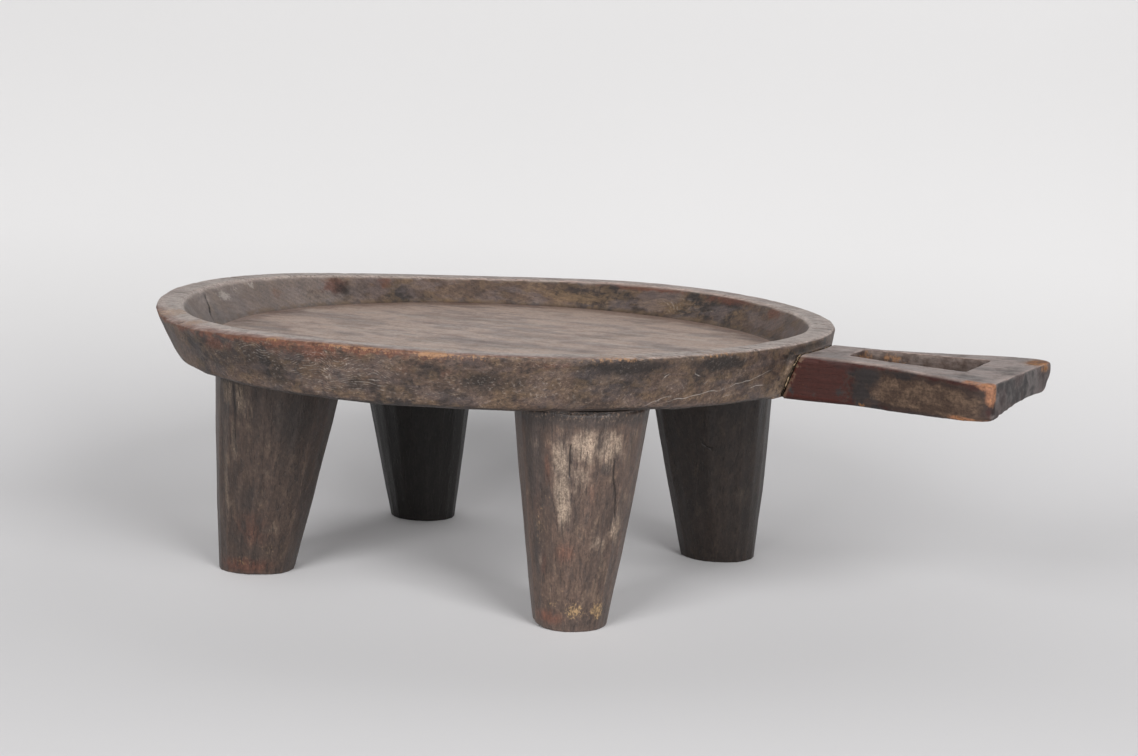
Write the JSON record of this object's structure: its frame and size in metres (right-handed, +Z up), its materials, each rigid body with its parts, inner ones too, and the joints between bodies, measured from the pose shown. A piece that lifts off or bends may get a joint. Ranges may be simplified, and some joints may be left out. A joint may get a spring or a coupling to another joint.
{
  "type": "serving tray",
  "caption": "Low round serving tray of dark carved hardwood: a shallow flared dish on tapered legs, with a flat fish-tail handle pierced by a finger slot.",
  "frame": {"origin": "on the ground, under the middle of the tray's whole outline", "axes": "+X towards the end of the handle, +Z up, +Y to the left of the handle seen from above"},
  "size_m": [0.5526, 0.4142, 0.1655],
  "materials": {
    "dish_wood": "worn, oiled and smoke-darkened hardwood, dull on the floor and polished on the rim",
    "handle_wood": "hand-polished dark red-brown hardwood, bare and orange on worn corners",
    "leg_wood": "nearly black hardwood with upright knife flats, dusty where it has dried",
    "peg_wood": "raw split hardwood",
    "filler": "dry crumbly resin and wood dust"
  },
  "bodies": {
    "root": {"dish": "dish_wood", "handle": "handle_wood", "handle_seam_filler": "filler", "leg_left": "leg_wood", "wedge_left": "peg_wood", "leg_front": "leg_wood", "wedge_front": "peg_wood", "leg_right": "leg_wood", "wedge_right": "peg_wood", "leg_back": "leg_wood", "wedge_back": "peg_wood", "handle_peg_front": "peg_wood", "handle_peg_back": "peg_wood"}
  },
  "joints": []
}
